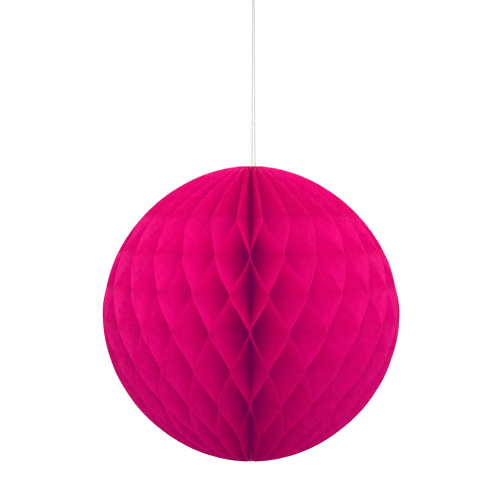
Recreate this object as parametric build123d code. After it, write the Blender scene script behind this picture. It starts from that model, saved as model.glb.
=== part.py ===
from build123d import *

import math
import os

# A hanging honeycomb ball of tissue paper, in millimetres.
# The spine, where the straight edges of all the leaves meet, is the Z axis, and the origin is the
# centre of the ball. The two cover boards meet face to face in the plane X = 0 on the +Y side.
# Half-disc tissue leaves fan out from board A, round the back of the spine, to board B. Each leaf
# is glued to its neighbours along horizontal lines that alternate, so it zigzags between them.

BALL_RADIUS = 101.6
BALL_HALF_HEIGHT = 101.2
LEAF_COUNT = 50
LEAF_THICKNESS = 0.03
GLUE_GAP = 0.04

# Glue lines, at even steps up and down the spine from a line a little below the equator. Past the
# outermost lines, the two leaves glued there lie together up to the pole.
GLUE_PITCH = 24.1
GLUE_CENTRE = -4.4
OUTERMOST_STEP = 3

# The outline of an open leaf is a superellipse, a little more pointed at the top than below: an
# exponent of 2 would be round. It has a flat at each pole and a small corner notch at each end of
# its straight edge, where the binding stitch passes.
TOP_EXPONENT = 1.9
BOTTOM_EXPONENT = 1.94
POLE_HEIGHT = 100.8
INNER_RADIUS = 1.5
NOTCH_RADIUS = 3.6
NOTCH_HEIGHT = 94.0
END_ROW_HEIGHTS = (83.0, NOTCH_HEIGHT, 97.5, 99.5, POLE_HEIGHT)

# Cover boards and the double-sided tape that closes them.
BOARD_RADIUS = 99.0
BOARD_THICKNESS = 0.35
BOARD_SPINE_EDGE = 7.5
TAPE_THICKNESS = 0.2
TAPE_LENGTH = 42.0
TAPE_WIDTH = 9.0
TAPE_RADIUS = 62.0
TAPE_HEIGHT = 36.0

# Thread work at the ends of the spine.
STITCH_RING_RADIUS = 2.6
STITCH_THREAD_RADIUS = 0.3
HITCH_CENTRE = (1.65, 0, 95.4)
HITCH_HALF_SIZES = (1.75, 0.95, 0.8)

# The hanging thread, a doubled strand with an overhand knot below a small eye.
THREAD_DIAMETER = 0.8
THREAD_FOOT = 95.8
THREAD_KNOT = 225.0
KNOT_CENTRE_X = 1.55
KNOT_RADIUS = 1.6
KNOT_HALF_HEIGHT = 2.1
THREAD_ROUTE = [
    (0.6, 0, THREAD_FOOT),
    (1.11, 0, THREAD_KNOT),
    (-1.65, 0, THREAD_KNOT + 5.5),
    (-2.75, 0, THREAD_KNOT + 12.5),
    (-0.55, 0, THREAD_KNOT + 18.8),
    (3.65, 0, THREAD_KNOT + 18.8),
    (5.85, 0, THREAD_KNOT + 12.5),
    (4.75, 0, THREAD_KNOT + 5.5),
    (1.99, 0, THREAD_KNOT),
    (2.7, 0, THREAD_FOOT),
]

HALF_LEAF_ANGLE = 180.0 / LEAF_COUNT
SEAM_ANGLE = 90.0
LEAF_SPREAD = math.tan(math.radians(HALF_LEAF_ANGLE))
LEAF_CLEARANCE = (LEAF_THICKNESS + GLUE_GAP) / 2
SEAM_HALF_WIDTH = TAPE_THICKNESS / 2 + BOARD_THICKNESS


def glue_height(step):
    return GLUE_CENTRE + GLUE_PITCH * step


def leaf_rows():
    """Heights of the leaf's rows: each glue line, halfway between, and closer near the poles."""
    half_steps = range(-2 * OUTERMOST_STEP, 2 * OUTERMOST_STEP + 1)
    rows = [glue_height(half_step / 2) for half_step in half_steps]
    rows += [end * height for height in END_ROW_HEIGHTS for end in (-1, 1)]
    return sorted(rows)


def outline_radius(height):
    """How far the leaf's curved edge is from the spine at a height."""
    exponent = TOP_EXPONENT if height > 0 else BOTTOM_EXPONENT
    share = 1 - abs(height / BALL_HALF_HEIGHT) ** exponent
    return BALL_RADIUS * share ** (1 / exponent)


def zigzag(height, sign):
    """From -1 to 1 between glue lines: the sign itself at even lines, its opposite at odd ones."""
    along = (height - GLUE_CENTRE) / GLUE_PITCH
    along = max(-OUTERMOST_STEP, min(OUTERMOST_STEP, along))
    from_even = abs((along + 1) % 2 - 1)
    return sign * (1 - 2 * from_even)


def thin_sheet(points, triangles, thickness):
    """A closed solid on both sides of a triangulated sheet, thickened along Y."""
    half = Vector(0, thickness / 2, 0)
    front = [Vector(*p) + half for p in points]
    back = [Vector(*p) - half for p in points]
    outlines = [[front[i] for i in corners] for corners in triangles]
    outlines += [[back[i] for i in reversed(corners)] for corners in triangles]
    directed = {(c[i], c[(i + 1) % 3]) for c in triangles for i in range(3)}
    rim = [(a, b) for a, b in directed if (b, a) not in directed]
    outlines += [[front[b], front[a], back[a], back[b]] for a, b in sorted(rim)]
    faces = [Face(Wire.make_polygon(outline, close=True)) for outline in outlines]
    return Solid(Shell(faces))


def row_radii(inner, outer):
    """Where a row of the leaf has its points, with one at the corner notch's depth if it has one."""
    start = max(inner, NOTCH_RADIUS)
    spread = [start, (start + outer) / 2, outer]
    return spread if inner >= NOTCH_RADIUS else [inner] + spread


def leaf(sign, inner, low_extra=0.0, high_extra=0.0):
    """A tissue leaf whose mean plane is XZ. It stays inside its own wedge, less what a board takes."""
    heights = leaf_rows()
    points = []
    for height in heights:
        outer = outline_radius(height)
        share = (1 + zigzag(height, sign)) / 2
        radii = row_radii(inner, outer)
        for radius in radii:
            reach = radius * LEAF_SPREAD - LEAF_CLEARANCE
            low, high = low_extra - reach, reach - high_extra
            points.append((radius, low + (high - low) * share, height))
    columns = len(radii)
    triangles = []
    for row, (lower, upper) in enumerate(zip(heights, heights[1:])):
        beside_notch = max(-lower, upper) > NOTCH_HEIGHT and inner < NOTCH_RADIUS
        for column in range(1 if beside_notch else 0, columns - 1):
            a = row * columns + column
            b = a + columns
            triangles += [(a, b, a + 1), (a + 1, b, b + 1)]
    return thin_sheet(points, triangles, LEAF_THICKNESS)


def make_leaves():
    """All leaves in order round the spine, from board A to board B."""
    even = leaf(-1, INNER_RADIUS)
    odd = leaf(1, INNER_RADIUS)
    leaves = {}
    for number in range(1, LEAF_COUNT + 1):
        blank = even if number % 2 == 0 else odd
        if number == 1:
            blank = leaf(1, BOARD_SPINE_EDGE, low_extra=SEAM_HALF_WIDTH)
        if number == LEAF_COUNT:
            blank = leaf(-1, BOARD_SPINE_EDGE, high_extra=SEAM_HALF_WIDTH)
        angle = SEAM_ANGLE + (2 * number - 1) * HALF_LEAF_ANGLE
        leaves[f"leaf_{number:02d}"] = blank.rotate(Axis.Z, angle)
    return leaves


def cover_board(inner_x):
    """A half-disc of card parallel to YZ, its straight edge clear of the spine."""
    disc = Cylinder(BOARD_RADIUS, BOARD_THICKNESS, rotation=(0, 90, 0))
    keep = Box(
        BOARD_THICKNESS * 3,
        BOARD_RADIUS,
        BOARD_RADIUS * 2.1,
        align=(Align.CENTER, Align.MIN, Align.CENTER),
    )
    board = disc & keep.moved(Location((0, BOARD_SPINE_EDGE, 0)))
    return board.moved(Location((inner_x, 0, 0)))


def closing_tape(height):
    """A round-ended strip of double-sided tape between the boards, along their outer part."""
    outline = Plane.YZ * Pos(TAPE_RADIUS, height) * SlotOverall(TAPE_LENGTH, TAPE_WIDTH, rotation=90)
    return extrude(outline, TAPE_THICKNESS / 2, both=True)


def stitch(height):
    """The binding stitch: a ring of thread that gathers the leaves' straight edges."""
    return Torus(STITCH_RING_RADIUS, STITCH_THREAD_RADIUS).moved(Location((0, 0, height)))


def ellipsoid(centre, half_sizes):
    """An oval lump of wound thread."""
    ball = scale(Sphere(1.0), by=half_sizes)
    return ball.moved(Location(centre))


def corner_radii(route):
    """The largest comfortable arc at each corner of a route."""
    radii = []
    for before, at, after in zip(route, route[1:], route[2:]):
        into = Vector(*at) - Vector(*before)
        out = Vector(*after) - Vector(*at)
        half_turn = math.radians(into.get_angle(out) / 2)
        radii.append(0.45 * min(into.length, out.length) / math.tan(half_turn))
    return radii


def hanging_thread():
    """One thread from the hitch up to the eye and back down to the hitch."""
    radii = corner_radii(THREAD_ROUTE)
    print("thread corner radii", [round(radius, 2) for radius in radii])
    path = FilletPolyline(*THREAD_ROUTE, radius=radii)
    start = path @ 0
    section = Plane(origin=start, z_dir=path % 0) * Circle(THREAD_DIAMETER / 2)
    tube = sweep(section, path=path)
    expected = math.pi * THREAD_DIAMETER**2 / 4 * path.length
    print("thread length", round(path.length, 1), "volume share", round(tube.volume / expected, 4))
    return tube


def build():
    stitch_height = NOTCH_HEIGHT + STITCH_THREAD_RADIUS + GLUE_GAP
    board_offset = (TAPE_THICKNESS + BOARD_THICKNESS) / 2
    nodes = make_leaves()
    nodes["cover_board_a"] = cover_board(-board_offset)
    nodes["cover_board_b"] = cover_board(board_offset)
    nodes["closing_tape_upper"] = closing_tape(TAPE_HEIGHT)
    nodes["closing_tape_lower"] = closing_tape(-TAPE_HEIGHT)
    nodes["top_stitch"] = stitch(stitch_height)
    nodes["bottom_stitch"] = stitch(-stitch_height)
    nodes["thread_hitch"] = ellipsoid(HITCH_CENTRE, HITCH_HALF_SIZES)
    nodes["hanging_thread"] = hanging_thread()
    nodes["hanging_knot"] = ellipsoid(
        (KNOT_CENTRE_X, 0, THREAD_KNOT), (KNOT_RADIUS, KNOT_RADIUS, KNOT_HALF_HEIGHT)
    )
    return nodes


os.makedirs("parts", exist_ok=True)
for name, shape in build().items():
    export_step(shape, f"parts/{name}.step")
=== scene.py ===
import math

import bpy
import numpy as np
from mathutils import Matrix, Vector


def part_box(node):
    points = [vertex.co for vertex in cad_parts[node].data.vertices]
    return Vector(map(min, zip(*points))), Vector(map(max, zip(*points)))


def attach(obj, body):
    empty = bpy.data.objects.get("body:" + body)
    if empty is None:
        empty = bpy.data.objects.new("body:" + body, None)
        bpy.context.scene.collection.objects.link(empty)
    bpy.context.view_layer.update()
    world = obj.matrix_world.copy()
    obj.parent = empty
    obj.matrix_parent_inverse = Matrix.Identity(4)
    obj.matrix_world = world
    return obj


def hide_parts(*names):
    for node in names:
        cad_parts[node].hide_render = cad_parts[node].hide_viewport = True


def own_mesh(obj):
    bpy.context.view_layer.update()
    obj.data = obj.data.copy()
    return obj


# A hanging honeycomb ball of tissue paper. The spine is the Z axis and the ball's centre the origin.
# Lengths are in metres and directions in degrees from +X, except where a comment says otherwise.

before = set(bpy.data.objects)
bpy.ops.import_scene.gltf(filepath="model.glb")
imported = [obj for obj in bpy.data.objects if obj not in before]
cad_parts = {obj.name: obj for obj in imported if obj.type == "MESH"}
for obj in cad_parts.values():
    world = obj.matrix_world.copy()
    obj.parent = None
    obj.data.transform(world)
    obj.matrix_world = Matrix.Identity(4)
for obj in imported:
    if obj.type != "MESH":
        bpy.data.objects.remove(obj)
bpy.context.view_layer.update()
random = np.random.default_rng(7)

MM = 0.001

# The leaves fan all the way round the spine from the seam, where the two cover boards meet at the back.
LEAF_NAMES = sorted(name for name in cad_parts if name.startswith("leaf_"))
LEAF_COUNT = len(LEAF_NAMES)
HALF_ANGLE = 180.0 / LEAF_COUNT
SEAM_ANGLE = 90.0

# A leaf's outline is a superellipse, cut off flat at POLE_HEIGHT. The notch at the end of its straight edge
# leaves room for the binding thread.
BALL_RADIUS = 101.6 * MM
BALL_HALF_HEIGHT = 101.2 * MM
TOP_EXPONENT = 1.9
BOTTOM_EXPONENT = 1.94
POLE_HEIGHT = 100.8 * MM
INNER_RADIUS = 0.6 * MM
NOTCH_RADIUS = 3.6 * MM
NOTCH_HEIGHT = 94.0 * MM
BOARD_SPINE_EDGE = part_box("cover_board_a")[0].y
SEAM_HALF_WIDTH = -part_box("cover_board_a")[0].x

# Glue lines are numbered from below, and line 0 is at GLUE_CENTRE. A leaf is glued to its next neighbour
# along every other line, and to the one before it along the rest.
GLUE_PITCH = 24.1 * MM
GLUE_CENTRE = -4.4 * MM
GLUE_LINES = range(-3, 4)
GLUE_HALF_BAND = 0.9 * MM
GLUE_GAP = 0.04 * MM
LEAF_THICKNESS = 0.03 * MM


# ---------------------------------------------------------------- node helpers


def new_material(name):
    """An empty node material, its tree and its output."""
    material = bpy.data.materials.new(name)
    material.use_nodes = True
    tree = material.node_tree
    tree.nodes.clear()
    return material, tree, tree.nodes.new("ShaderNodeOutputMaterial")


def node(tree, kind, inputs=(), **settings):
    """A node with its settings, and its inputs set to values or linked to other nodes' outputs."""
    made = tree.nodes.new("ShaderNode" + kind)
    for key, value in settings.items():
        setattr(made, key, value)
    for key, value in dict(inputs).items():
        if isinstance(value, bpy.types.NodeSocket):
            tree.links.new(value, made.inputs[key])
        else:
            made.inputs[key].default_value = value
    return made


def math_node(tree, operation, a, b):
    """The result of an operation on a and b."""
    return node(tree, "Math", {0: a, 1: b}, operation=operation).outputs[0]


def remap(tree, value, low, high, to_low, to_high):
    """value's span from low to high, spread over to_low to to_high and held there."""
    spans = {"From Min": low, "From Max": high, "To Min": to_low, "To Max": to_high}
    return node(tree, "MapRange", {"Value": value, **spans}).outputs["Result"]


def mix_colour(tree, share, a, b):
    """A colour that is a where share is 0 and b where it is 1."""
    return node(tree, "Mix", {0: share, 6: a, 7: b}, data_type="RGBA").outputs[2]


def attribute(tree, name):
    """The node that reads a mesh's own values."""
    return node(tree, "Attribute", attribute_name=name)


# ------------------------------------------------------------------- materials

# How much of the light that tissue doesn't absorb goes through it, and a faint painted glow on all the
# tissue. The glow stands in for light in the deep folds, so that their shade stays pink instead of red.
THROUGH_SHARE = 0.58
PAINTED_FOLD_GLOW = (0.01, 0, 0.04, 1)

# Distances in from a leaf's cut edge: the width of the painted highlight along it, where the crinkle starts
# to fade, where it has gone, and where the painted shade tint is full.
RIM_HIGHLIGHT_WIDTH = 0.6 * MM
CRINKLE_FADES = 4.0 * MM
CRINKLE_ENDS = 30.0 * MM
FULL_SHADE_TINT_DEPTH = 35.0 * MM
CRINKLE_HEIGHT = 1.8 * MM


def tissue_material():
    """Thin dyed tissue: cloudy fibres, a crinkled edge with a painted highlight along it, faint glued
    bands, a painted shade tint deeper in and a faint painted glow.
    """
    material, tree, output = new_material("pink_tissue")
    place = attribute(tree, "leaf_place").outputs["Vector"]
    glue = attribute(tree, "glue").outputs["Fac"]
    depth = attribute(tree, "depth").outputs["Fac"]
    # rim is 1 at the cut edge and fades out over the painted highlight's width.
    rim = remap(tree, depth, 0.0, RIM_HIGHLIGHT_WIDTH, 1.0, 0.0)
    # A painted shade tint: 0 at the cut edge, rising to 1 deeper in, where the folds lie in shade.
    inside = remap(tree, depth, 0.0, FULL_SHADE_TINT_DEPTH, 0.0, 1.0)

    clouds = node(tree, "TexNoise", {"Vector": place, "Scale": 130.0, "Detail": 6.0, "Roughness": 0.6})
    fibres = node(tree, "TexNoise", {"Vector": place, "Scale": 1500.0, "Detail": 3.0, "Distortion": 1.2})
    cloudy = remap(tree, clouds.outputs["Fac"], 0.3, 0.7, 0.0, 1.0)
    fibrous = remap(tree, fibres.outputs["Fac"], 0.35, 0.7, 0.0, 1.0)

    base = mix_colour(tree, cloudy, (0.92, 0.0003, 0.23, 1), (0.98, 0.001, 0.27, 1))
    for mask, amount, colour in (
        (fibrous, 0.3, (0.95, 0.003, 0.28, 1)),
        (glue, 0.04, (0.9, 0.0002, 0.24, 1)),
        # A painted highlight along the cut edge, where the edge catches the light.
        (rim, 0.4, (0.99, 0.02, 0.34, 1)),
    ):
        base = mix_colour(tree, math_node(tree, "MULTIPLY", mask, amount), base, colour)
    # The painted shade tint makes both colours bluer deeper in, so that the shade in the folds stays pink.
    base = mix_colour(tree, inside, base, (0.95, 0.0005, 0.42, 1))
    through_colour = mix_colour(tree, cloudy, (0.92, 0.0002, 0.42, 1), (0.98, 0.0004, 0.48, 1))
    through_colour = mix_colour(tree, inside, through_colour, (0.95, 0.0003, 0.68, 1))

    crinkle = node(tree, "TexNoise", {"Vector": place, "Scale": 210.0, "Detail": 6.0, "Roughness": 0.55})
    grain = math_node(tree, "MULTIPLY", fibres.outputs["Fac"], 0.1)
    height = math_node(tree, "ADD", crinkle.outputs["Fac"], grain)
    strength = remap(tree, depth, CRINKLE_FADES, CRINKLE_ENDS, 1.0, 0.0)
    bump = node(tree, "Bump", {"Height": height, "Strength": strength, "Distance": CRINKLE_HEIGHT})

    surface = node(
        tree,
        "BsdfPrincipled",
        {
            "Base Color": base,
            "Roughness": remap(tree, clouds.outputs["Fac"], 0.3, 0.7, 0.4, 0.55),
            "Specular IOR Level": 0.15,
            # A faint painted glow, lighting the shade in the deep folds.
            "Emission Color": PAINTED_FOLD_GLOW,
            "Emission Strength": 1.0,
            "Normal": bump.outputs["Normal"],
        },
    )
    through = node(tree, "BsdfTranslucent", {"Color": through_colour, "Normal": bump.outputs["Normal"]})
    mixed = node(tree, "MixShader", {0: THROUGH_SHARE, 1: surface.outputs[0], 2: through.outputs[0]})
    tree.links.new(mixed.outputs[0], output.inputs["Surface"])
    return material


def card_material():
    """Pink printed card with fine fibres, and its grey core showing at the cut edges."""
    material, tree, output = new_material("pink_card")
    place = node(tree, "TexCoord").outputs["Object"]
    normal = node(tree, "NewGeometry").outputs["Normal"]
    sideways = node(tree, "SeparateXYZ", {0: normal}).outputs["X"]
    face = math_node(tree, "GREATER_THAN", math_node(tree, "ABSOLUTE", sideways, 0.0), 0.6)
    fibres = node(tree, "TexNoise", {"Vector": place, "Scale": 900.0, "Detail": 6.0})
    cloudy = remap(tree, fibres.outputs["Fac"], 0.35, 0.65, 0.0, 1.0)
    printed = mix_colour(tree, cloudy, (0.66, 0.004, 0.15, 1), (0.8, 0.01, 0.19, 1))
    core = mix_colour(tree, cloudy, (0.46, 0.42, 0.38, 1), (0.62, 0.58, 0.52, 1))
    base = mix_colour(tree, face, core, printed)
    bump = node(tree, "Bump", {"Height": fibres.outputs["Fac"], "Strength": 0.2, "Distance": 0.0002})
    settings = {"Base Color": base, "Roughness": 0.62, "Normal": bump.outputs["Normal"]}
    surface = node(tree, "BsdfPrincipled", settings)
    tree.links.new(surface.outputs[0], output.inputs["Surface"])
    return material


def tape_material():
    """Milky double-sided tape with faint bubbles."""
    material, tree, output = new_material("tape")
    place = node(tree, "TexCoord").outputs["Object"]
    bubbles = node(tree, "TexVoronoi", {"Vector": place, "Scale": 700.0})
    shade = remap(tree, bubbles.outputs["Distance"], 0.1, 0.6, 0.0, 1.0)
    base = mix_colour(tree, shade, (0.86, 0.83, 0.72, 1), (0.75, 0.73, 0.66, 1))
    rough = remap(tree, bubbles.outputs["Distance"], 0.0, 0.6, 0.2, 0.45)
    surface = node(tree, "BsdfPrincipled", {"Base Color": base, "Roughness": rough})
    tree.links.new(surface.outputs[0], output.inputs["Surface"])
    return material


def thread_material():
    """Off-white spun cotton."""
    material, tree, output = new_material("cotton_thread")
    place = node(tree, "TexCoord").outputs["Object"]
    fluff = node(tree, "TexNoise", {"Vector": place, "Scale": 4000.0, "Detail": 4.0})
    base = mix_colour(tree, fluff.outputs["Fac"], (0.42, 0.41, 0.36, 1), (0.54, 0.53, 0.47, 1))
    bump = node(tree, "Bump", {"Height": fluff.outputs["Fac"], "Strength": 0.2, "Distance": 0.00008})
    settings = {
        "Base Color": base,
        "Roughness": 0.8,
        "Sheen Weight": 0.3,
        "Normal": bump.outputs["Normal"],
    }
    surface = node(tree, "BsdfPrincipled", settings)
    tree.links.new(surface.outputs[0], output.inputs["Surface"])
    return material


def floor_material():
    """A plain pale studio floor that glows a little, so that it is white to the camera."""
    material, tree, output = new_material("studio_floor")
    surface = node(
        tree,
        "BsdfPrincipled",
        {
            "Base Color": (0.93, 0.93, 0.93, 1),
            "Roughness": 0.9,
            "Emission Color": (1, 1, 1, 1),
            "Emission Strength": 1.0,
        },
    )
    tree.links.new(surface.outputs[0], output.inputs["Surface"])
    return material


# ---------------------------------------------------------------------- camera

# Degrees above the ball's level and round towards +X from straight in front, then the lens in millimetres.
CAMERA_ELEVATION = 5.0
CAMERA_TURN = 0.55
CAMERA_LENS = 106.55
CAMERA_AIM = (-0.74 * MM, 0, 43.5 * MM)
CAMERA_DISTANCE = 10.0 * BALL_RADIUS


def make_camera():
    """A long lens a little above the ball, aimed above its centre as the ball hangs low in the view."""
    data = bpy.data.cameras.new("camera")
    data.sensor_width = 36.0
    data.lens = CAMERA_LENS
    camera = bpy.data.objects.new("camera", data)
    bpy.context.scene.collection.objects.link(camera)
    up, turn = math.radians(CAMERA_ELEVATION), math.radians(CAMERA_TURN)
    away = Vector((math.sin(turn) * math.cos(up), -math.cos(turn) * math.cos(up), math.sin(up)))
    camera.location = away * CAMERA_DISTANCE
    camera.rotation_euler = (Vector(CAMERA_AIM) - camera.location).to_track_quat("-Z", "Y").to_euler()
    bpy.context.scene.camera = camera


# ---------------------------------------------------------------------- leaves

FRONT_ANGLE = SEAM_ANGLE - 180.0

# The leaves are drawn towards the front. The pull is GATHER_PULL at GATHER_HEIGHT and grows with the cube
# of the height, up to GATHER_LIMIT times that height.
GATHER_PULL = 0.14
GATHER_HEIGHT = 72.0 * MM
GATHER_LIMIT = 1.3

# How far a glue line strays from its height, and sideways in degrees.
LINE_STRAY = 0.2 * MM
LINE_TURN_STRAY = 0.15


def glue_height(line):
    """The height of a glue line, by its number. A number between two lines gives a height between them."""
    return GLUE_CENTRE + GLUE_PITCH * line


def outline_radius(height):
    """How far the leaf's curved edge is from the spine at a height."""
    exponent = TOP_EXPONENT if height > 0 else BOTTOM_EXPONENT
    share = 1 - abs(height / BALL_HALF_HEIGHT) ** exponent
    return BALL_RADIUS * max(share, 0.0) ** (1 / exponent)


def turn_sign(number):
    """1 if the leaf leans towards its next neighbour at even glue lines, -1 if at odd ones."""
    return 1 if (number - LEAF_COUNT // 2) % 2 == 0 else -1


def smooth(share):
    """A share from 0 to 1, eased at both ends."""
    return share * share * (3 - 2 * share)


def waves(count, shortest, longest):
    """Random plane waves across a leaf: (radial rate, upward rate, phase, length) for each."""
    length = np.exp(random.uniform(math.log(shortest), math.log(longest), count))
    way = random.uniform(0, math.pi, count)
    rate = 2 * math.pi / length
    phase = random.uniform(0, 2 * math.pi, count)
    return np.stack([rate * np.cos(way), rate * np.sin(way), phase, length], axis=1)


# How far each glue line strays, for each meeting of two leaves, so that glued leaves stay together.
LINE_RISE = random.normal(0, LINE_STRAY, (LEAF_COUNT + 1, len(GLUE_LINES)))
LINE_TURN = random.normal(0, LINE_TURN_STRAY, (LEAF_COUNT + 1, len(GLUE_LINES)))
LINE_RISE[[0, -1]] = 0
LINE_TURN[[0, -1]] = 0

# How much of each leaf's lean has relaxed at its two poles, how far each panel between glue lines bows out,
# and each leaf's fine waves, with their height as a share of their length.
POLE_OPENING = random.uniform(0.4, 0.5, (LEAF_COUNT, 2))
PANEL_BOW = random.normal(0, 0.4 * MM, (LEAF_COUNT, len(GLUE_LINES)))
LEAF_WAVES = [waves(14, 6 * MM, 30 * MM) for _ in range(LEAF_COUNT)]
WAVE_STEEPNESS = 0.006

# Just before the poles a leaf turns over, to lean the other way by TURNED_OVER - 1 of its lean.
TURN_START = 96 * MM
TURN_HEIGHT = 4.5 * MM
TURNED_OVER = 1.9

# Each leaf's fibres and crinkles are taken from the pattern this much further on than the last leaf's.
PATTERN_SHIFT = 0.37


def middle_angle(number):
    """The direction of a leaf's middle plane."""
    return SEAM_ANGLE + (2 * number - 1) * HALF_ANGLE


def leaf_rows():
    """Heights of a leaf's rows, close at the glue lines' bends and at the poles."""
    shares = (0, 0.038, 0.075, 0.11, 0.15, 0.2, 0.25, 0.3, 0.35, 0.4, 0.45, 0.5)
    shares += tuple(1 - share for share in shares[-2:0:-1])
    rows = [glue_height(line + share) for line in GLUE_LINES[:-1] for share in shares]
    for end, line in ((-1, GLUE_LINES[0]), (1, GLUE_LINES[-1])):
        last = glue_height(line)
        rows += list(np.linspace(last, end * NOTCH_HEIGHT, 16))
        rows += list(np.linspace(end * NOTCH_HEIGHT, end * POLE_HEIGHT, 7))
    return np.array(sorted({round(float(row), 7) for row in rows}))


def leaf_columns(inner, outer):
    """Radii across a row: the notch's edge, wide steps inside, and close ones to the cut edge."""
    start = max(inner, NOTCH_RADIUS)
    shares = np.concatenate([np.linspace(0, 0.7, 9), np.linspace(0.7, 0.985, 15)[1:], [0.994, 1]])
    radii = start + (outer - start) * shares
    return radii if inner >= NOTCH_RADIUS else np.concatenate(([inner], radii))


def zigzag(height, heights):
    """The lean from 1 at even glue lines to -1 at odd ones, then the panel and the share across it."""
    index = int(np.clip(np.searchsorted(heights, height) - 1, 0, len(heights) - 2))
    low, high = heights[index], heights[index + 1]
    share = (height - low - GLUE_HALF_BAND) / (high - low - 2 * GLUE_HALF_BAND)
    share = min(max(share, 0.0), 1.0)
    share = 0.8 * share + 0.2 * smooth(share)
    even_below = GLUE_LINES[index] % 2 == 0
    return (1 - 2 * share) * (1 if even_below else -1), index, share


def pole_opening(number, height, heights):
    """How far the lean relaxes past the outermost glue lines. At the very poles it turns over."""
    beyond = max(height - heights[-1], heights[0] - height, 0.0)
    at_top = 1 if height > 0 else 0
    opening = POLE_OPENING[number - 1, at_top] * min(beyond / GLUE_PITCH, 1.0)
    near_pole = smooth(min(max((abs(height) - TURN_START) / TURN_HEIGHT, 0.0), 1.0))
    return opening + (TURNED_OVER - opening) * near_pole


def gathered(degrees, height):
    """Directions drawn a little towards the front, more so near the poles."""
    pull = GATHER_PULL * min(abs(height) / GATHER_HEIGHT, GATHER_LIMIT) ** 3
    from_front = np.radians(degrees - FRONT_ANGLE)
    return degrees - np.degrees(pull * np.sin(from_front))


def strayed_lines(number):
    """The heights of a leaf's glue lines and how far each is turned, as they are where two leaves meet."""
    towards_next = [turn_sign(number) * (1 if line % 2 == 0 else -1) > 0 for line in GLUE_LINES]
    meets = [number if is_next else number - 1 for is_next in towards_next]
    order = range(len(GLUE_LINES))
    heights = np.array([glue_height(GLUE_LINES[i]) + LINE_RISE[meets[i], i] for i in order])
    turns = np.array([LINE_TURN[meets[i], i] for i in order])
    return heights, turns


def leaf_limits(number, radii):
    """How far a leaf may turn each way from its middle, to touch its neighbours or a board."""
    clearance = (LEAF_THICKNESS + GLUE_GAP) / 2
    reach = HALF_ANGLE - np.degrees(clearance / radii)
    low, high = -reach, reach.copy()
    if number == 1:
        low = low + np.degrees(SEAM_HALF_WIDTH / radii)
    if number == LEAF_COUNT:
        high = high - np.degrees(SEAM_HALF_WIDTH / radii)
    return low, high


def swelling(number, panel, height, radii):
    """How far a panel's bow and the leaf's fine waves stand out, more so away from the spine."""
    across, up, phase, length = LEAF_WAVES[number - 1].T
    ripple = np.sin(np.outer(radii, across) + height * up + phase) @ (length * WAVE_STEEPNESS)
    return (PANEL_BOW[number - 1, panel] + ripple) * (radii / BALL_RADIUS)


def leaf_sheet(number):
    """Points of a leaf's middle surface as (radius, degrees, height), with each one's glue and depth."""
    at_board = number in (1, LEAF_COUNT)
    inner = BOARD_SPINE_EDGE if at_board else INNER_RADIUS
    heights, turns = strayed_lines(number)
    sheet, glue, depth = [], [], []
    for height in leaf_rows():
        way, panel, share = zigzag(height, heights)
        way *= turn_sign(number) * (1 - pole_opening(number, height, heights))
        outer = outline_radius(height)
        radii = leaf_columns(inner, outer)
        low, high = leaf_limits(number, radii)
        stray = turns[panel] * (1 - share) + turns[panel + 1] * share
        stray_here = stray * np.minimum(1, radii / BALL_RADIUS * 2)
        bulge = np.degrees(math.sin(math.pi * share) * swelling(number, panel, height, radii) / radii)
        degrees = middle_angle(number) + low + (high - low) * (1 + way) / 2 + stray_here + bulge
        sheet.append(np.stack([radii, gathered(degrees, height), np.full_like(radii, height)], axis=1))
        # 1 on a glued band, and fading out just past it.
        nearest = np.abs(heights - height).min()
        glue.append(np.full_like(radii, np.clip(1.6 - nearest / GLUE_HALF_BAND, 0, 1)))
        depth.append(outer - radii)
    return np.array(sheet), np.array(glue), np.array(depth)


def sheet_faces(rows, columns, skip):
    """Quads of a grid of points, less those in skip."""
    quads = []
    for row in range(rows - 1):
        for column in range(columns - 1):
            if (row, column) not in skip:
                a = row * columns + column
                quads.append((a, a + 1, a + columns + 1, a + columns))
    return quads


def close_sheet(points, normals, quads, thickness):
    """Both faces of a thin sheet and its rim. The rim's edges come back too, to be kept sharp."""
    count = len(points)
    both = np.concatenate([points + normals * thickness / 2, points - normals * thickness / 2])
    faces = list(quads) + [tuple(i + count for i in reversed(quad)) for quad in quads]
    directed = {(quad[i], quad[(i + 1) % 4]) for quad in quads for i in range(4)}
    rim = sorted((a, b) for a, b in directed if (b, a) not in directed)
    faces += [(b, a, a + count, b + count) for a, b in rim]
    sharp = {frozenset(pair) for a, b in rim for pair in ((a, b), (a + count, b + count))}
    return both, faces, sharp


def mesh_piece(name, points, faces, material, sharp=()):
    """A smooth-shaded mesh object, with the edges in sharp kept crisp."""
    mesh = bpy.data.meshes.new(name)
    mesh.from_pydata([tuple(p) for p in points], [], faces)
    mesh.polygons.foreach_set("use_smooth", [True] * len(mesh.polygons))
    if sharp:
        for edge in mesh.edges:
            edge.use_edge_sharp = frozenset(edge.vertices) in sharp
    mesh.materials.append(material)
    piece = bpy.data.objects.new(name, mesh)
    bpy.context.scene.collection.objects.link(piece)
    return piece


def add_values(mesh, name, values, kind="FLOAT"):
    """A value for each point of a closed sheet, the same on its two faces."""
    both = np.concatenate([values, values]).astype(np.float32)
    field = "value" if kind == "FLOAT" else "vector"
    mesh.attributes.new(name, kind, "POINT").data.foreach_set(field, both.ravel())


def at_points(grid, used):
    """The values of a grid of rows and columns at the points in used, one row for each."""
    return grid.reshape(grid.shape[0] * grid.shape[1], -1)[used]


def beside_thread(number):
    """Whether a leaf's spine corner would be where the thread comes out, on the +X side of the spine."""
    return math.cos(math.radians(middle_angle(number))) > 0.7


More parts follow.
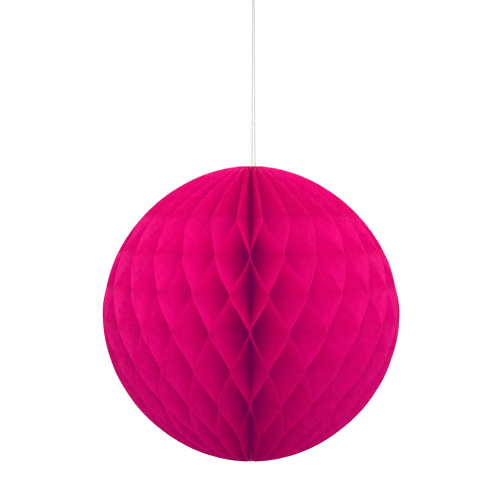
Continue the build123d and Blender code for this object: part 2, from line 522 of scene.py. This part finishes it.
def make_leaf(number, material):
    """A leaf's tissue, closed all round, parented to its leaf's body."""
    name = LEAF_NAMES[number - 1]
    sheet, glue, depth = leaf_sheet(number)
    rows, columns = glue.shape
    radii, turns, heights = sheet[..., 0], np.radians(sheet[..., 1]), sheet[..., 2]
    points = np.stack([radii * np.cos(turns), radii * np.sin(turns), heights], axis=-1)
    normals = np.stack([-np.sin(turns), np.cos(turns), np.zeros_like(turns)], axis=-1)
    place = np.stack([radii, heights, np.full_like(radii, PATTERN_SHIFT * number)], axis=-1)

    in_notch = [top > NOTCH_HEIGHT + 1e-6 for top in leaf_rows()[1:]]
    skip = {(row, 0) for row in range(rows - 1) if in_notch[row]} if beside_thread(number) else set()
    quads = sheet_faces(rows, columns, skip)
    used = sorted({i for quad in quads for i in quad})
    order = {old: new for new, old in enumerate(used)}
    quads = [tuple(order[i] for i in quad) for quad in quads]

    points, normals = at_points(points, used), at_points(normals, used)
    both, faces, sharp = close_sheet(points, normals, quads, LEAF_THICKNESS)
    piece = mesh_piece("tissue_" + name, both, faces, material, sharp)
    add_values(piece.data, "leaf_place", at_points(place, used), "FLOAT_VECTOR")
    add_values(piece.data, "glue", at_points(glue, used))
    add_values(piece.data, "depth", at_points(depth, used))
    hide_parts(name)
    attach(piece, name)
    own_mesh(piece)


# ---------------------------------------------------------------------- thread

THREAD_DIAMETER = 0.8 * MM
STITCH_DIAMETER = 0.6 * MM
PLIES = 3
PLY_CORNERS = 7

# These are in millimetres. The doubled thread's route is spine, knot, eye, knot and back to the spine.
THREAD_FOOT = 95.8
KNOT_HEIGHT = 225.0
KNOT_X = 1.55
THREAD_ROUTE = [
    (0.6, 0, THREAD_FOOT),
    (1.09, 0, KNOT_HEIGHT - 5),
    (1.11, 0, KNOT_HEIGHT),
    (-1.65, 0, KNOT_HEIGHT + 5.5),
    (-2.75, 0, KNOT_HEIGHT + 12.5),
    (-0.55, 0, KNOT_HEIGHT + 18.8),
    (3.65, 0, KNOT_HEIGHT + 18.8),
    (5.85, 0, KNOT_HEIGHT + 12.5),
    (4.75, 0, KNOT_HEIGHT + 5.5),
    (1.99, 0, KNOT_HEIGHT),
    (2.01, 0, KNOT_HEIGHT - 5),
    (2.7, 0, THREAD_FOOT),
]


def smooth_line(route):
    """Points along the open NURBS spline that a route's points control."""
    curve = bpy.data.curves.new("route", "CURVE")
    curve.dimensions = "3D"
    spline = curve.splines.new("NURBS")
    spline.points.add(len(route) - 1)
    for point, place in zip(spline.points, route):
        point.co = (*(x * MM for x in place), 1.0)
    spline.order_u = 3
    spline.use_endpoint_u = True
    spline.resolution_u = 24
    holder = bpy.data.objects.new("route", curve)
    bpy.context.scene.collection.objects.link(holder)
    bpy.context.view_layer.update()
    depsgraph = bpy.context.evaluated_depsgraph_get()
    mesh = bpy.data.meshes.new_from_object(holder.evaluated_get(depsgraph), depsgraph=depsgraph)
    points = np.array([vertex.co for vertex in mesh.vertices])
    bpy.data.objects.remove(holder)
    bpy.data.curves.remove(curve)
    bpy.data.meshes.remove(mesh)
    return points


def distances_along(points):
    """How far along a line each of its points is."""
    steps = np.linalg.norm(np.diff(points, axis=0), axis=1)
    return np.concatenate([[0], np.cumsum(steps)])


def evenly(points, step, closed=False):
    """The same line with points a step apart, and its length."""
    if closed:
        points = np.concatenate([points, points[:1]])
    lengths = distances_along(points)
    count = max(4, int(round(lengths[-1] / step)))
    marks = np.linspace(0, lengths[-1], count + 1)
    marks = marks[:-1] if closed else marks
    return np.stack([np.interp(marks, lengths, points[:, i]) for i in range(3)], axis=1), lengths[-1]


def frames_along(points, closed):
    """A steady pair of side directions at each point of a line."""
    if closed:
        ahead = np.roll(points, -1, axis=0) - np.roll(points, 1, axis=0)
    else:
        ahead = np.gradient(points, axis=0)
    ahead /= np.linalg.norm(ahead, axis=1)[:, None]
    side = np.cross(ahead[0], (0, 1, 0))
    if np.linalg.norm(side) < 0.1:
        side = np.cross(ahead[0], (1, 0, 0))
    sides = []
    for direction in ahead:
        side = side - direction * (side @ direction)
        side = side / np.linalg.norm(side)
        sides.append(side)
    sides = np.array(sides)
    return sides, np.cross(ahead, sides)


def tube(points, radius, closed=False):
    """Points and faces of a round tube along a line, with flat ends if it is open."""
    side, other = frames_along(points, closed)
    angles = np.linspace(0, 2 * math.pi, PLY_CORNERS, endpoint=False)
    ring = side[:, None] * np.cos(angles)[:, None] + other[:, None] * np.sin(angles)[:, None]
    places = (points[:, None] + ring * radius).reshape(-1, 3)
    count = len(points)
    faces = []
    for i in range(count if closed else count - 1):
        here = i * PLY_CORNERS
        after = (i + 1) % count * PLY_CORNERS
        for j in range(PLY_CORNERS):
            k = (j + 1) % PLY_CORNERS
            faces.append((here + j, here + k, after + k, after + j))
    if not closed:
        last = (count - 1) * PLY_CORNERS
        faces.append(tuple(reversed(range(PLY_CORNERS))))
        faces.append(tuple(last + j for j in range(PLY_CORNERS)))
    return places, faces


def join(parts):
    """Several (points, faces) as one."""
    points, faces, offset = [], [], 0
    for places, some in parts:
        points.append(places)
        faces += [tuple(i + offset for i in face) for face in some]
        offset += len(places)
    return np.concatenate(points), faces


def twisted(points, diameter, closed=False):
    """Plies laid round a line, as spun thread."""
    ply_radius = diameter * 0.27
    lay_radius = diameter / 2 - ply_radius
    pitch = diameter * 3.4
    line, length = evenly(points, pitch / 10, closed)
    side, other = frames_along(line, closed)
    turns = max(1, round(length / pitch)) * 2 * math.pi
    share = np.linspace(0, 1, len(line), endpoint=not closed)
    parts = []
    for ply in range(PLIES):
        angle = (share * turns + ply * 2 * math.pi / PLIES)[:, None]
        centre = line + (side * np.cos(angle) + other * np.sin(angle)) * lay_radius
        parts.append(tube(centre, ply_radius, closed))
    return join(parts)


def make_hanging_thread(material):
    """The doubled thread, its line and its length."""
    line = smooth_line(THREAD_ROUTE)
    points, faces = twisted(line, THREAD_DIAMETER)
    piece = mesh_piece("doubled_thread", points, faces, material)
    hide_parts("hanging_thread")
    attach(piece, "side_a")
    return piece, line, distances_along(line)[-1]


def overhand_knot(material):
    """A trefoil of thread drawn tight round the two strands."""
    t = np.linspace(0, 2 * math.pi, 90, endpoint=False)
    across = (np.sin(t) + 2 * np.sin(2 * t)) * 0.36
    deep = -np.sin(3 * t) * 0.62
    up = (np.cos(t) - 2 * np.cos(2 * t)) * 0.45
    line = np.stack([across + KNOT_X, deep, up + KNOT_HEIGHT], axis=1) * MM
    points, faces = twisted(line, THREAD_DIAMETER, closed=True)
    piece = mesh_piece("overhand_knot", points, faces, material)
    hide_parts("hanging_knot")
    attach(piece, "side_a")
    return piece


def larks_head(material):
    """The hitch: two turns of thread round the stitch ring, with a bar across them."""
    low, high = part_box("thread_hitch")
    centre = np.array((low + high) / 2)
    t = np.linspace(0, 2 * math.pi, 40, endpoint=False)
    parts = []
    for shift in (-0.85, 0.85):
        turn = np.stack([np.full_like(t, shift), 0.62 * np.cos(t), 0.5 * np.sin(t)], axis=1)
        parts.append(twisted(turn * MM + centre, 0.55 * MM, closed=True))
    bar = np.stack([np.cos(t) * 1.15, np.sin(t) * 0.3 - 0.35, np.sin(t) * 0.3 + 0.25], axis=1)
    parts.append(twisted(bar * MM + centre, 0.5 * MM, closed=True))
    piece = mesh_piece("larks_head_hitch", *join(parts), material)
    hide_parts("thread_hitch")
    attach(piece, "side_a")


def stitch_ring(node_name, material):
    """A ring of binding thread round one end of the spine."""
    low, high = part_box(node_name)
    radius = (high.x - low.x - STITCH_DIAMETER) / 2
    height = (low.z + high.z) / 2
    t = np.linspace(0, 2 * math.pi, 60, endpoint=False)
    ring = np.stack([radius * np.cos(t), radius * np.sin(t), np.full_like(t, height)], axis=1)
    points, faces = twisted(ring, STITCH_DIAMETER, closed=True)
    piece = mesh_piece(node_name + "_thread", points, faces, material)
    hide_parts(node_name)
    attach(piece, "side_a")


# ----------------------------------------------------------------------- stage

FLOOR_HEIGHT = -0.45
FLOOR_REACH = 40.0


def area_light(name, place, size, power):
    """A round soft light that faces the ball's centre."""
    data = bpy.data.lights.new(name, "AREA")
    data.shape = "DISK"
    data.size = size
    data.energy = power
    lamp = bpy.data.objects.new(name, data)
    lamp.location = place
    lamp.rotation_euler = (-Vector(place)).to_track_quat("-Z", "Y").to_euler()
    bpy.context.scene.collection.objects.link(lamp)


def make_stage():
    """White surroundings, darker from below than from the sides and above, over a plain pale floor."""
    world = bpy.data.worlds.new("studio")
    bpy.context.scene.world = world
    world.use_nodes = True
    tree = world.node_tree
    tree.nodes.clear()
    up = node(tree, "SeparateXYZ", {0: node(tree, "TexCoord").outputs["Generated"]}).outputs["Z"]
    light = remap(tree, up, -0.7, 0.0, 0.05, 0.88)
    seen = node(tree, "LightPath").outputs["Is Camera Ray"]
    level = node(tree, "Mix", {0: seen, 2: light, 3: 1.05}, data_type="FLOAT").outputs[0]
    shade = node(tree, "Background", {"Color": (1, 1, 1, 1), "Strength": level})
    output = node(tree, "OutputWorld")
    tree.links.new(shade.outputs[0], output.inputs["Surface"])

    area_light("overhead", (0.1, -0.5, 1.3), size=0.9, power=6.0)
    area_light("front_box", (0.2, -1.8, 0.3), size=1.2, power=16.0)
    area_light("left_box", (-1.4, -0.5, 0.35), size=1.0, power=3.2)
    area_light("right_box", (1.4, -0.4, 0.35), size=1.0, power=2.4)

    signs = ((-1, -1), (1, -1), (1, 1), (-1, 1))
    corners = [(x * FLOOR_REACH, y * FLOOR_REACH, FLOOR_HEIGHT) for x, y in signs]
    floor = mesh_piece("floor", corners, [(0, 1, 2, 3)], floor_material())
    floor.visible_diffuse = False
    floor.visible_glossy = False
    floor.visible_transmission = False


# ------------------------------------------------------------------------ make

make_camera()
scene = bpy.context.scene
scene.view_settings.view_transform = "Standard"
# Lifts the middle tones of the whole picture.
scene.view_settings.gamma = 1.15
# Light goes through many leaves before it leaves the ball.
scene.cycles.max_bounces = 40
scene.cycles.diffuse_bounces = 24
scene.cycles.transmission_bounces = 32

thread = thread_material()
cord, cord_line, cord_length = make_hanging_thread(thread)
knot = overhand_knot(thread)
larks_head(thread)
for ring in ("top_stitch", "bottom_stitch"):
    stitch_ring(ring, thread)

tissue = tissue_material()
for number in range(1, LEAF_COUNT + 1):
    make_leaf(number, tissue)

card = card_material()
tape = tape_material()
for cad_name, material in (
    ("cover_board_a", card),
    ("cover_board_b", card),
    ("closing_tape_upper", tape),
    ("closing_tape_lower", tape),
):
    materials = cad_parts[cad_name].data.materials
    materials.clear()
    materials.append(material)

make_stage()
